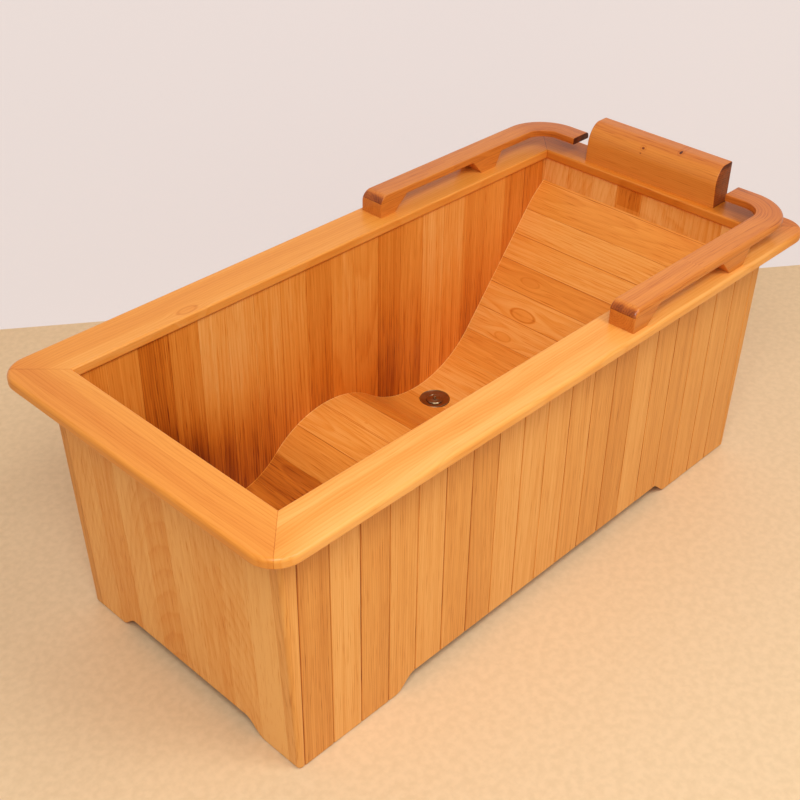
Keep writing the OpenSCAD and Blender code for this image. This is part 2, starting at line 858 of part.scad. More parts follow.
// Plug with its domed top and the stem that slides in the guide
module stopper_plug() {
    r = plug_d / 2;
    color("#6b4020") translate([drain_x, drain_y, 0]) rotate_extrude() polygon([
        [0, stop_z - stop_t], [stem_d / 2, stop_z - stop_t], [stem_d / 2, plug_z],
        [r - 0.8, plug_z], [r, plug_z + 0.8], [r, plug_z + plug_t - 1.4],
        [r - 1.2, plug_z + plug_t - 0.2], [r - 3, plug_z + plug_t], [r - 4, plug_z + plug_t - 0.8],
        [r - 9, plug_z + plug_t], [4, plug_z + plug_t + dome_h], [0, plug_z + plug_t + dome_h]]);
}

module stopper_seal() {
    color("#2b2a28") drain_ring(seal_z, seal_t, stem_d + joint_gap, plug_d - 0.8);
}

// Small turned knob that lifts the plug
module stopper_knob() {
    color("#8a5a30") translate([drain_x, drain_y, knob_z]) rotate_extrude() polygon([
        [0, 0], [3.2, 0], [2.6, 2], [3.4, 3.2], [5, 4], [5.4, 5], [5, 6], [3.6, 6.8], [0, 7]]);
}

// Nut on the stem's lower end, which stops the lift against the guide
module stopper_stop_nut() {
    color("#6b4020") drain_ring(stop_z - stop_t, stop_t, stem_d + joint_gap, hub_d - 1);
}

// One glide, a low round pad with its lower edge eased
module glide(x, y) {
    translate([x, y, 0]) rotate_extrude() difference() {
        square([glide_d / 2, glide_h]);
        translate([glide_d / 2, 0]) mirror([0, 1]) corner_waste(glide_r);
    }
}

// Eight glides, under the inner end of each arm of the four L-shaped feet
module floor_glides() {
    side_x = side_foot_x + glide_d / 2 + 1;
    side_y = (wall_y0 + wall_y1) / 2;
    end_x = (end_outer(0) + end_inner(0)) / 2;
    end_y = end_foot_y + glide_d / 2 + 1;
    color("#1d1b1a") for (sx = [-1, 1], sy = [-1, 1]) {
        glide(sx * side_x, sy * side_y);
        glide(sx * end_x, sy * end_y);
    }
}

rim_near();
rim_far();
rim_foot();
rim_head();
rim_splines();
near_foot_staves();
near_skirt_staves();
near_head_staves();
far_foot_staves();
far_skirt_staves();
far_head_staves();
foot_end_boards();
head_end_boards();
corner_strip_foot_near();
corner_strip_foot_far();
corner_strip_head_near();
corner_strip_head_far();
for (k = [1:floor_boards])
    floor_board(k);
for (k = [1:ramp_boards])
    ramp_board(k);
for (k = [1:knee_boards])
    knee_board(k);
for (k = [1:seat_boards])
    seat_board(k);
for (k = [1:back_boards])
    back_board(k);
shoulder_board();
cleats_near();
cleats_far();
floor_bearers();
back_bearers();
handrail_near();
handrail_far();
handrail_dowels();
headrest();
headrest_dowels();
drain_flange();
drain_gasket();
drain_washer();
drain_locknut();
stopper_plug();
stopper_seal();
stopper_knob();
stopper_stop_nut();
floor_glides();
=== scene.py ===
# %% [markdown]
# # A wooden soaking tub, dressed for the studio
# The carpentry is already drawn at its real size in the frame that the next cell loads. This
# lesson gives it its looks: oiled and lacquered boards, turned bronze, soft light. Every new
# piece is a surface that numpy works out from a few measures, and every finish is built from
# shader nodes. Lengths are in metres, and the tub stands on z = 0 with its head towards +X.

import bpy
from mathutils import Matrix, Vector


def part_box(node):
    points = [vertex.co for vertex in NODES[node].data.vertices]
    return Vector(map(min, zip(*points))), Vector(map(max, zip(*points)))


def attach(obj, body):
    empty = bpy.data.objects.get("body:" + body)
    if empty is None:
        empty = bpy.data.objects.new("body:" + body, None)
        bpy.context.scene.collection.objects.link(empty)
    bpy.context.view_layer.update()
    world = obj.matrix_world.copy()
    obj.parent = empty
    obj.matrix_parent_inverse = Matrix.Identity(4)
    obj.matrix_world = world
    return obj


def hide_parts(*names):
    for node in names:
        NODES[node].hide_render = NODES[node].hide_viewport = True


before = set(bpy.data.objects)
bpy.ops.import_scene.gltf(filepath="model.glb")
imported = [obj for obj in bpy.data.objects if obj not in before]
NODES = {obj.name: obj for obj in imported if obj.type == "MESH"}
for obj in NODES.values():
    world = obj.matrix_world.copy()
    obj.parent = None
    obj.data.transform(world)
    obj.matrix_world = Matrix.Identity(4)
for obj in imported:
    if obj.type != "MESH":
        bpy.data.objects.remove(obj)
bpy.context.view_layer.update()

import math

import bpy
import numpy as np
from mathutils import Matrix, Vector

# %% [markdown]
# ## Measures that several pieces share
# Numbers copied by hand from one program to another go stale as soon as a size changes. The
# frame already knows where each piece is, so most sizes are read from its boxes. Only what a box
# can't tell, such as the radius of a bend, is written beside the piece that needs it.

# %% Shared measures


def box_of(node):
    """Lowest and highest corner of a node, as two arrays."""
    low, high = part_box(node)
    return np.array(low), np.array(high)


rim_low, rim_high = box_of("rim_near")
RIM_TOP = rim_high[2]
HALF_LENGTH = box_of("rim_head")[1][0]
HALF_WIDTH = -rim_low[1]
WALL_OUT = box_of("far_skirt_staves")[1][1]
WALL_IN = box_of("far_skirt_staves")[0][1]
print("rim top", RIM_TOP, "half length", HALF_LENGTH, "half width", HALF_WIDTH)
print("long wall from", round(WALL_IN, 3), "to", round(WALL_OUT, 3))

# %% [markdown]
# ## Camera
# The picture looks down on the tub over its foot end and near side, through a fairly long lens.
# A camera could be aimed at an empty with a constraint, but that would set its roll too. Here
# it is placed by where it stands and the way it looks: an azimuth round the vertical, how far it
# looks down and a slight roll. The lens follows from the focal length in pixels of an 800 pixel
# picture on Blender's 36 mm sensor, and the shift from the pixel that the lens looks straight at.

# %% Camera
PICTURE = 800
SENSOR = 36
camera_place = Vector((-1.7266, -1.5345, 1.9359))
azimuth, downward, roll = np.radians((-46.287, 34.938, 0.783))
focal_pixels = 1293.5
middle_pixel = (399.6, 400.6)

look = Vector((-math.sin(azimuth) * math.cos(downward),
               math.cos(azimuth) * math.cos(downward), -math.sin(downward)))
right = look.cross(Vector((0, 0, 1))).normalized()
up = right.cross(look)
right, up = (math.cos(roll) * right + math.sin(roll) * up,
             math.cos(roll) * up - math.sin(roll) * right)
camera_data = bpy.data.cameras.new("studio_camera")
camera_data.sensor_width = SENSOR
camera_data.lens = focal_pixels * SENSOR / PICTURE
camera_data.shift_x = (PICTURE / 2 - middle_pixel[0]) / PICTURE
camera_data.shift_y = (middle_pixel[1] - PICTURE / 2) / PICTURE
camera = bpy.data.objects.new("studio_camera", camera_data)
camera.matrix_world = Matrix.Translation(camera_place) @ Matrix(
    (right, up, -look)).transposed().to_4x4()
bpy.context.scene.collection.objects.link(camera)
bpy.context.scene.camera = camera
bpy.context.scene.view_settings.view_transform = "Standard"
print("lens", round(camera_data.lens, 1), "mm")

# %% [markdown]
# ## Shader sums as ordinary Python
# A wood grain is a long sum over coordinates. It could be wired up by hand in the Shader Editor,
# or in Python node by node, but both hide the formula. So a small class wraps a node's socket and
# lets + - * / ** build the Math nodes, and one method of the finish makes every other node.

# %% Socket wrapper


class Value:
    """A socket that carries one number. Arithmetic on it adds Math nodes."""

    def __init__(self, finish, socket):
        self.finish = finish
        self.socket = socket

    def math(self, operation, *others):
        """One Math node with this value first and the others after it."""
        values = dict(enumerate((self,) + others))
        return self.finish.node("ShaderNodeMath", {"operation": operation}, values)

    def __add__(self, other):
        return self.math("ADD", other)

    __radd__ = __add__

    def __mul__(self, other):
        return self.math("MULTIPLY", other)

    __rmul__ = __mul__

    def __sub__(self, other):
        return self.math("SUBTRACT", other)

    def __rsub__(self, other):
        return self * -1.0 + other

    def __truediv__(self, other):
        return self.math("DIVIDE", other)

    def __pow__(self, other):
        return self.math("POWER", other)

    def floor(self):
        return self.math("FLOOR")

    def fract(self):
        return self.math("FRACT")

    def size(self):
        return self.math("ABSOLUTE")

    def root(self):
        return self.math("SQRT")

    def over(self, edge):
        """1 where the value is greater than edge, and 0 elsewhere."""
        return self.math("GREATER_THAN", edge)

    def rise(self, low, high, out_low=0.0, out_high=1.0):
        """Runs smoothly from out_low to out_high as the value goes from low to high."""
        return self.finish.node(
            "ShaderNodeMapRange", {"interpolation_type": "SMOOTHSTEP"},
            {"Value": self, "From Min": low, "From Max": high,
             "To Min": out_low, "To Max": out_high})


print("socket wrapper ready")

# %% Finish builder


class Finish:
    """A material under construction, with one principled shader."""

    def __init__(self, name, **sockets):
        self.material = bpy.data.materials.new(name)
        self.material.use_nodes = True
        self.tree = self.material.node_tree
        self.shader = self.tree.nodes["Principled BSDF"]
        for key, value in sockets.items():
            self.shader.inputs[key.replace("_", " ")].default_value = value

    def node(self, kind, settings=None, values=None, out=0):
        """Any node: its type, its settings, then the values or links of its sockets."""
        made = self.tree.nodes.new(kind)
        for key, value in (settings or {}).items():
            if key == "stops":
                set_stops(made.color_ramp, value)
            else:
                setattr(made, key, value)
        for key, value in (values or {}).items():
            self.feed(made.inputs[key], value)
        return Value(self, made.outputs[out])

    def feed(self, socket, value):
        """Links a value to a socket, or sets a plain number or colour on it."""
        if isinstance(value, Value):
            self.tree.links.new(value.socket, socket)
        else:
            socket.default_value = value

    def outputs(self, value, keys):
        """Several outputs of the node that made a value, by number or name."""
        made = value.socket.node
        return [Value(self, made.outputs[key]) for key in keys]

    def parts(self, vector):
        """The X, Y and Z of a vector."""
        split = self.node("ShaderNodeSeparateXYZ", values={0: vector})
        return self.outputs(split, range(3))

    def place(self):
        """The three object coordinates of the point, in metres."""
        return self.parts(self.node("ShaderNodeTexCoord", out="Object"))

    def join(self, x, y, z):
        """A vector of three values or numbers."""
        return self.node("ShaderNodeCombineXYZ", values={0: x, 1: y, 2: z})

    def noise(self, x, y, z, detail=2.0):
        """Smooth noise, mostly near 0.5, that changes over about one unit of x, y and z."""
        return self.node("ShaderNodeTexNoise", None,
                         {"Vector": self.join(x, y, z), "Scale": 1.0, "Detail": detail})

    def chance(self, seed):
        """A number from 0 to 1 that jumps when the seed does."""
        if not isinstance(seed, Value):
            return abs(math.sin(seed * 12.9898) * 43758.5453) % 1.0
        return self.node("ShaderNodeTexWhiteNoise", {"noise_dimensions": "1D"}, {"W": seed})

    def ramp(self, value, stops):
        """A colour for each value from 0 to 1."""
        return self.node("ShaderNodeValToRGB", {"stops": stops}, {0: value})

    def blend(self, factor, one, two):
        """Goes from colour one to colour two as the factor goes from 0 to 1.

        A Mix node lists its number, vector and colour sockets together, so the two colours are
        its inputs 6 and 7, and the mixed colour is its output 2.
        """
        return self.node("ShaderNodeMix", {"data_type": "RGBA"}, {0: factor, 6: one, 7: two}, 2)

    def bump(self, height, distance):
        """Tilts the surface as if it rose by distance where height is 1."""
        normal = self.node("ShaderNodeBump", None,
                           {"Height": height, "Strength": 1.0, "Distance": distance})
        self.set("Normal", normal)

    def set(self, socket, value):
        """Feeds a socket of the principled shader."""
        self.feed(self.shader.inputs[socket], value)

    def wear_on(self, *things):
        """Puts this finish on objects in place of what they had."""
        for thing in things:
            thing.data.materials.clear()
            thing.data.materials.append(self.material)


def set_stops(ramp, stops):
    """Colour ramp stops, each a place from 0 to 1 and a colour."""
    while len(ramp.elements) > 1:
        ramp.elements.remove(ramp.elements[-1])
    ramp.elements[0].position, ramp.elements[0].color = stops[0]
    for place, colour in stops[1:]:
        ramp.elements.new(place).color = colour


def paint(red, green, blue):
    """A colour written as on a screen, 0 to 255, turned into light."""
    c = np.array((red, green, blue)) / 255
    light = np.where(c <= 0.04045, c / 12.92, ((c + 0.055) / 1.055) ** 2.4)
    return (*map(float, light), 1.0)


print("finish builder ready")

# %% [markdown]
# ## How a board gets its grain
# A photograph of wood would repeat and stretch from board to board, and a Wave texture draws
# stripes without the pointed arches of a sawn board. A board is a slice through a tree, so its
# figure is the tree's rings seen on a plane. Rings are cylinders round the pith, and they taper
# with the trunk. The distance from a tilted, wobbly axis, divided by the ring width, gives the
# figure: straight lines where the axis is far to the side, and arches where it passes close
# under the face. On an end, the same formula draws the ends of the rings. Each board draws its
# own axis and tone from its number. Finer noises, drawn out along the grain, add the rest:
# streaks, fibres and pores.
#
# Everything adds up to one number, the darkness of the wood, and one ramp turns that number into
# a colour. Light wood is then always a little yellower and dark wood redder, as in a real stack.

# %% Wood figure
HONEY_STOPS = [(0.0, paint(249, 187, 108)), (0.3, paint(232, 159, 76)),
               (0.6, paint(207, 128, 47)), (0.8, paint(176, 95, 27)), (1.0, paint(128, 55, 12))]
GOLD_STOPS = [(0.0, paint(250, 186, 104)), (0.3, paint(234, 151, 60)),
              (0.6, paint(212, 119, 32)), (0.8, paint(176, 86, 16)), (1.0, paint(126, 50, 8))]
# The pith's place and the rings in metres, then the share of each kind of figure in the darkness
HONEY = {"side": 0.30, "near": 0.015, "below": 0.10, "taper": 0.05, "wander": 0.03,
         "ring": 0.0055, "figure": 0.16, "band": 0.16, "streak": 0.22, "fine": 0.16, "pore": 0.16}
# Changes per metre along and across the grain, and the detail, of each noise
GRAIN = {"slow": (1.6, 5.0, 3.0), "quick": (9.0, 34.0, 2.0), "streak": (2.2, 95.0, 2.0),
         "fine": (7.0, 330.0, 2.0), "pore": (14.0, 520.0, 1.0)}
# Changes of tone per ring and per metre of length
BAND = (0.27, 0.7)
# Added to a board's number, so that each of its draws is a new one
DRAWS = {"tone": 0.37, "side": 11.7, "below": 23.1, "taper": 31.9, "swing": 71.3}


def wood(finish, along, across, depth, board, look):
    """Darkness and relief of a board.

    along, across and depth are the point in the board's own directions, in metres. The ring
    number is sqrt((across - side)^2 + (depth + below + taper * along)^2) / ring width, plus a
    little noise. Late wood darkens slowly through each ring and ends at once. Darkness is base +
    spread * chance + figure * late wood + bands + streaks + fibres + pores.
    """
    tone, side, below, taper = (finish.chance(board + DRAWS[kind])
                                for kind in ("tone", "side", "below", "taper"))
    side = (side - 0.5) * look["side"]
    below = below * look["below"] + look["near"]
    taper = (taper - 0.5) * look["taper"]
    own = board * 3.17

    def grain(kind, shift, through=False):
        """A noise that is drawn out along the grain. It runs through the board or stays flat."""
        per_along, per_across, detail = GRAIN[kind]
        third = depth * per_across + shift if through else shift
        return finish.noise(along * per_along, across * per_across, third, detail)

    x = across - side + (grain("slow", own) - 0.5) * look["wander"]
    z = depth + below + taper * along
    rings = (x * x + z * z).root() / look["ring"] + grain("quick", own + 4.0) * 0.5
    part = rings.fract()
    late = part ** 2.5 * part.rise(1.0, 0.84)
    per_ring, per_along = BAND
    band = finish.noise(rings * per_ring, along * per_along, own, 1.0)
    streak = grain("streak", own, through=True)
    fine = grain("fine", 0.0, through=True)
    pore = grain("pore", own, through=True).rise(0.58, 0.72)
    dark = (tone - 0.5) * look["spread"] + look["base"] + late * (band + 0.3) * look["figure"]
    dark = dark + (band - 0.5) * look["band"] + (streak - 0.5) * look["streak"]
    dark = dark + (fine - 0.5) * look["fine"] + pore * look["pore"]
    relief = fine * 0.5 - pore * 0.4 - late * 0.3
    return dark, relief


def from_knot(along, across, place, half):
    """How far a point is from a knot, 1 at its outline: sqrt((a / half)^2 + (c / half)^2)."""
    a = (along - place[0]) / half[0]
    c = (across - place[1]) / half[1]
    return (a * a + c * c).root()


def flow_round(away, across, middle):
    """across drawn in to a quarter at a knot, so that the rings part and flow round it."""
    return (across - middle) * away.rise(0.9, 3.0, 0.25, 1.0) + middle


def knot_darkness(away, line, width, heart, edge):
    """A dark line of some width round a knot, and a darker heart that starts at its edge."""
    return (away - 1.0).size().rise(width, 0.02) * line + away.rise(1.0, edge) * heart


def lacquered(name, coat=0.25, gloss=0.2):
    """A finish of matt wood under a thin clear coat, sharper where gloss is less."""
    return Finish(name, Roughness=0.42, Specular_IOR_Level=0.22, Coat_Weight=coat,
                  Coat_Roughness=gloss)


print("honey wood has", len(HONEY_STOPS), "stops")

# %% [markdown]
# ## Rim
# Four wide boards with mitred corners under a thin clear coat. Each is glued up from strips,
# whose tones differ a little, and the boards are painted darker towards both ends and most
# towards the head, as painted shade where the light falls off. One finish could serve all four,
# but the grain turns by a right angle at each mitre and every board has a tone of its own, so
# each gets its own finish from one function. The fine dark line of a mitre is drawn where the two
# sides of the rim are equally far away, which the coordinates alone tell.

# %% Rim finish
RIM = dict(HONEY, spread=0.10, side=0.22, ring=0.0075, wander=0.07, band=0.30, streak=0.11,
           fine=0.11, pore=0.09, below=0.03, taper=0.06)
# Darkness of each board, and a number for its draws
RIM_BOARDS = {"rim_near": (0.17, 3.0), "rim_far": (0.31, 8.0), "rim_foot": (0.29, 13.0),
              "rim_head": (0.28, 18.0)}
STRIPS_PER_METRE = 24.0
# The knot's X and Y, and half of its length and width
RIM_KNOT_PLACE, RIM_KNOT_HALF = (-0.4185, 0.307), (0.022, 0.010)
# Where the mitre's line fades out and is full, and where the painted shade at both ends and at the
# head comes on
MITRE_LINE, ENDS_SHADE_PLACES, HEAD_SHADE_PLACES = (0.0014, 0.0004), (0.68, 0.80), (0.60, 0.78)
# How much darker each of these makes the wood
MITRE_TONE, ENDS_SHADE_TONE, HEAD_SHADE_TONE = 0.28, 0.12, 0.26
RIM_RELIEF = 0.00006


def rim_finish(node):
    """Wood for a rim board, with its grain along X on the long sides and along Y on the ends."""
    base, number = RIM_BOARDS[node]
    finish = lacquered("finish_" + node)
    x, y, z = finish.place()
    along, across = (x, y) if node in ("rim_near", "rim_far") else (y, x)
    strip = (across.size() * STRIPS_PER_METRE + 0.31).floor()
    flow = across
    if node == "rim_far":
        away = from_knot(x, y, RIM_KNOT_PLACE, RIM_KNOT_HALF)
        flow = flow_round(away, across, RIM_KNOT_PLACE[1])
    dark, relief = wood(finish, along, flow, z - RIM_TOP, strip * 7.0 + number,
                        dict(RIM, base=base))
    if node == "rim_far":
        dark = dark + knot_darkness(away, line=0.22, width=0.35, heart=0.08, edge=0.6)
    to_mitre = ((x.size() - HALF_LENGTH) - (y.size() - HALF_WIDTH)).size()
    dark = dark + to_mitre.rise(*MITRE_LINE) * MITRE_TONE
    # Painted shade: darker towards both ends and most towards the head, where the light falls off.
    dark = dark + x.size().rise(*ENDS_SHADE_PLACES) * ENDS_SHADE_TONE + x.rise(*HEAD_SHADE_PLACES) * HEAD_SHADE_TONE
    finish.set("Base Color", finish.ramp(dark, GOLD_STOPS))
    finish.bump(relief, RIM_RELIEF)
    return finish


for node in RIM_BOARDS:
    rim_finish(node).wear_on(NODES[node])
print("rim boards finished", len(RIM_BOARDS))

# %% [markdown]
# ## Staves and end boards
# The long walls are staves of one width, and the end walls are boards of one width that lean in
# towards the floor. A finish for every board would mean more than fifty materials. Instead one
# finish serves each wall: the number of a board is its place along the wall divided by the width,
# and every board still gets its own tone and figure from its number. Dirt gathers in the joints,
# so a thin dark line follows each, wider in the V on the outside. Inside, the wood is darker
# towards the floor, partly from water and partly as painted shade, and painted shade darkens it
# further low in the foot well and towards the foot end. Under the headrest the wall has a darker
# patch.

# %% Wall finishes
STAVE = dict(HONEY, base=0.28, spread=0.28, figure=0.20, streak=0.38, fine=0.20, pore=0.22,
             ring=0.0050, side=0.34)
END = dict(STAVE, base=0.12, spread=0.34, figure=0.16, band=0.26, streak=0.36, side=0.2,
           taper=0.16, wander=0.05)
# How much darker the inside is: towards the floor (water darkening and painted shade), low in the
# foot well and by the foot end (both painted shade), in the patch, in a joint, and how far boards
# differ
INSIDE = {"floor": 0.34, "well_shade": 0.34, "foot": 0.16, "patch": 0.20, "joint": 0.18,
          "spread": 0.34}
# The heights and the distances towards the foot over which these come on
WET_AND_SHADE_HEIGHTS, WELL_SHADE_HEIGHTS = (0.50, 0.10), (0.40, 0.20)
WELL_SHADE_PLACES, FOOT_SHADE_PLACES = (0.10, 0.40), (0.45, 0.62)
# Where the line of a joint inside fades out and is full, from the joint's middle
INSIDE_JOINT = (0.0009, 0.0003)
PATCH_EDGE = 0.001
BOARD_RELIEF = 0.00010


def inside_wet_and_shade(finish, x, z, board, tone):
    """How much darker a board is inside: water darkening and painted shade from its height and
    place, and its own tone from its number.
    """
    to_foot = x * -1.0
    # Darker towards the floor: water darkening and painted shade.
    wet_and_shade = z.rise(*WET_AND_SHADE_HEIGHTS) * INSIDE["floor"] + tone
    # Painted shade low in the foot well and towards the foot end.
    wet_and_shade = wet_and_shade + to_foot.rise(*WELL_SHADE_PLACES) * z.rise(*WELL_SHADE_HEIGHTS) * INSIDE["well_shade"]
    wet_and_shade = wet_and_shade + to_foot.rise(*FOOT_SHADE_PLACES) * INSIDE["foot"]
    return wet_and_shade + (finish.chance(board + DRAWS["swing"]) - 0.45) * INSIDE["spread"]


def patch_mask(across, z, low, high, above):
    """1 between low and high along the wall and above a height, with slightly soft edges."""
    return (across.rise(low, low + PATCH_EDGE) * across.rise(high, high - PATCH_EDGE)
            * z.rise(above, above + PATCH_EDGE))


def wall_finish(name, look, seed, boards, along_x, joint, inner=0.0, lean=0.0, tone=0.0,
                stops=HONEY_STOPS, patch=None):
    """Wood for the upright boards of a wall.

    boards is where the first one starts and how wide each is. joint is the half width and the
    darkness of the line at each joint outside. A point is inside where its distance from the
    tub's middle is not over inner + lean * height, so inner is the middle of the wall at the
    floor. tone and patch belong to the inside, and stops are the outside's colours.
    """
    finish = lacquered(name)
    x, y, z = finish.place()
    across, depth = (x, y) if along_x else (y, x)
    start, pitch = boards
    place = (across - start) / pitch
    board = place.floor() + seed
    dark, relief = wood(finish, z, across, depth, board, look)
    inside = 1.0 - (depth.size() - z * lean).over(inner)
    # Inside: water darkening, painted shade low down and towards the foot, and each board's own
    # tone.
    dark = dark + inside * inside_wet_and_shade(finish, x, z, board, tone)
    if patch:
        dark = dark + patch_mask(across, z, *patch) * inside * INSIDE["patch"]
    from_joint = (0.5 - (place.fract() - 0.5).size()) * pitch
    half_line, line_tone = joint
    worn = finish.noise(across * 9.0, z * 6.0, depth).rise(0.3, 0.7, 0.55, 1.0)
    line = from_joint.rise(half_line, half_line * 0.3) * worn
    dark = dark + (1.0 - inside) * line * line_tone
    dark = dark + inside * from_joint.rise(*INSIDE_JOINT) * INSIDE["joint"]
    finish.set("Base Color", finish.blend(inside, finish.ramp(dark, stops),
                                          finish.ramp(dark, GOLD_STOPS)))
    finish.bump(relief, BOARD_RELIEF)
    return finish


print("wall finish ready")

# %% Long walls
STAVES_PER_SIDE = 19
first_stave = box_of("near_foot_staves")[0][0]
last_stave = box_of("near_head_staves")[1][0]
staves = (first_stave, (last_stave - first_stave) / STAVES_PER_SIDE)
for side, seed in (("near", 2.0), ("far", 41.0)):
    finish = wall_finish("finish_staves_" + side, STAVE, seed, staves, along_x=True,
                         joint=(0.0020, 0.50), inner=(WALL_IN + WALL_OUT) / 2, tone=0.02)
    finish.wear_on(*[NODES[side + part] for part in
                     ("_foot_staves", "_skirt_staves", "_head_staves")])
    finish = wall_finish("finish_strips_" + side, STAVE, seed + 20.0, staves, along_x=True,
                         joint=(0.0010, 0.50))
    finish.wear_on(*[NODES["corner_strip_" + end + "_" + side] for end in ("foot", "head")])
print("stave pitch", round(staves[1] * 1000, 1), "mm")

# %% End walls
BOARDS_PER_END = 8
# How far an end wall leans out over its height, and where its middle stands at the floor
END_LEAN = 0.024 / 0.578
END_MIDDLE = 0.699
# From and to along Y, and above this height
HEAD_PATCH = (0.003, 0.069, 0.526)
for end, seed, tone, patch in (("foot", 83.0, 0.14, None), ("head", 127.0, -0.02, HEAD_PATCH)):
    low, high = box_of(end + "_end_boards")
    boards = (low[1], (high[1] - low[1]) / BOARDS_PER_END)
    finish = wall_finish("finish_end_" + end, END, seed, boards, along_x=False,
                         joint=(0.0008, 0.14), inner=END_MIDDLE, lean=END_LEAN, tone=tone,
                         stops=GOLD_STOPS, patch=patch)
    finish.wear_on(NODES[end + "_end_boards"])
    print(end, "end board", round(boards[1] * 1000, 1), "mm")

# %% [markdown]
# ## Seat and back boards
# These run across the tub, so their grain lies along Y, and each is tilted by its place on the
# curve. A UV map for every board could carry the grain, but it would have to be made by hand.
# Instead the slope of a board follows from its mesh: the long direction of its points in X and
# Z. The boards low in the foot well are painted darkest, as painted shadow of the foot end and
# the near wall, and the boards behind the knee's crest carry painted shade on top of their own
# tone. Their broad figure shows knots here and there. A knot is a cone of wood that the rings flow
# round, so near it the rings are pushed apart, and a dark outline closes it. Each board's ends at
# the long walls carry a thin painted highlight.

# %% Seat finishes
SEAT = dict(HONEY, base=0.22, spread=0.36, ring=0.0060, figure=0.20, side=0.12, wander=0.05,
            taper=0.10, below=0.05, band=0.20, streak=0.26, fine=0.20, pore=0.22)
# Floor and ramp boards: painted shadow of the foot end and the near wall.
DEEP_SHADOWED = dict(SEAT, base=0.64)
# Where a joint's line fades out and is full, the heights over which the back gets darker, and
# where the painted highlight along a board's end comes on, from the long wall
DECK_JOINT, HIGH_BACK, EDGE_HIGHLIGHT_PLACES = (0.0012, 0.0003), (0.30, 0.42), (0.0030, 0.0018)
# How much darker the first two make the wood, and how much lighter the painted highlight makes it
JOINT_TONE, HIGH_TONE, EDGE_HIGHLIGHT_TONE = 0.38, 0.12, 0.25
# The first board's number for its draws, and the step to the next
DECK_NUMBERS = (200.0, 3)
deck = sorted(n for n in NODES if n.rsplit("_", 1)[0] in
              ("floor_board", "ramp_board", "knee_board", "seat_board", "back_board"))
deck.append("shoulder_board")
# How much darker than its draw a board is: its own tone, plus painted shade on ramp_board_2 in the
# foot well and on knee_board_4, seat_board_1 and seat_board_2 behind the knee's crest
BOARD_TONE_AND_SHADE = {"ramp_board_2": 0.12, "knee_board_1": 0.10, "knee_board_2": -0.08,
              "knee_board_3": 0.16, "knee_board_4": 0.24, "seat_board_1": 0.26,
              "seat_board_2": 0.22, "seat_board_5": -0.08, "back_board_1": -0.04,
              "back_board_4": -0.02, "back_board_5": -0.04, "shoulder_board": 0.02}
# Knots by node: X, Y and Z on the surface, half length along Y, half width and strength
KNOTS = {"back_board_1": (0.445, 0.187, 0.208, 0.024, 0.010, 0.7),
         "back_board_2": (0.488, 0.162, 0.262, 0.036, 0.014, 1.5),
         "back_board_3": (0.539, 0.185, 0.326, 0.028, 0.010, 0.6),
         "knee_board_3": (-0.054, 0.169, 0.207, 0.004, 0.002, 1.5)}


def slope_and_run(node):
    """A board's slope from level, its middle and half of its run, from its mesh."""
    points = np.array([v.co[:] for v in NODES[node].data.vertices])[:, [0, 2]]
    middle = (points.min(axis=0) + points.max(axis=0)) / 2
    run = np.linalg.svd(points - points.mean(axis=0), full_matrices=False)[2][0]
    run = run if run[0] > 0 else -run
    reach = (points - middle) @ run
    return math.atan2(run[1], run[0]), middle, (reach.max() - reach.min()) / 2


def deck_finish(node, number):
    """Wood for a board of the deck, with its knot if it has one.

    Across the board is (x, z) turned by its slope, x cos + z sin, and its depth is z cos - x
    sin. Its joints are where the distance across is half of its run.
    """
    slope, middle, half_run = slope_and_run(node)
    cos, sin = math.cos(slope), math.sin(slope)
    finish = lacquered("finish_" + node, coat=0.2)
    x, y, z = finish.place()
    across = (x - middle[0]) * cos + (z - middle[1]) * sin
    depth = (z - middle[1]) * cos - (x - middle[0]) * sin
    flow = across
    if node in KNOTS:
        knot_x, knot_y, knot_z, half_long, half_wide, strength = KNOTS[node]
        knot_across = (knot_x - middle[0]) * cos + (knot_z - middle[1]) * sin
        away = from_knot(y, across, (knot_y, knot_across), (half_long, half_wide))
        flow = flow_round(away, across, knot_across)
    # Floor and ramp boards get the painted shadow, and some boards painted shade behind the knee.
    look = DEEP_SHADOWED if node.startswith(("floor_", "ramp_")) else SEAT
    look = dict(look, base=look["base"] + BOARD_TONE_AND_SHADE.get(node, 0.0))
    dark, relief = wood(finish, y, flow, depth, number, look)
    if node in KNOTS:
        dark = dark + knot_darkness(away, line=0.24 * strength, width=0.22,
                                    heart=0.08 * strength, edge=0.7)
    from_end = (across.size() - half_run).size()
    dark = dark + from_end.rise(*DECK_JOINT) * JOINT_TONE
    dark = dark + z.rise(*HIGH_BACK) * HIGH_TONE
    # A painted highlight along each board's ends at the long walls.
    edge_highlight = y.size().rise(*(WALL_IN - inset for inset in EDGE_HIGHLIGHT_PLACES))
    finish.set("Base Color", finish.ramp(dark - edge_highlight * EDGE_HIGHLIGHT_TONE, GOLD_STOPS))
    finish.bump(relief, BOARD_RELIEF)
    return finish


for count, node in enumerate(deck):
    deck_finish(node, DECK_NUMBERS[0] + DECK_NUMBERS[1] * count).wear_on(NODES[node])
print("deck boards", len(deck))

# %% [markdown]
# ## Handrails
# A rail is a flat plank on two blocks: a foot under its front end, which is rounded over, and a
# post before the bend. Both blocks flare into the plank. The plank turns round the corner and
# ends in an open, square-cut hook. It could be cut out of a block with Boolean modifiers, which
# leave uneven faces, or be a curve with a bevel object, whose section stays the same all the way.
# The section is a rectangle with one well-rounded edge, outside on top, where the forearm lies.
# So the whole rail is that section carried along a path, which is a straight, a quarter circle
# and a straight. Only the height of its underside changes on the way, and that one curve draws
# the foot, the finger gap and the post.

# %% Surface helper
SHARP = math.radians(38)


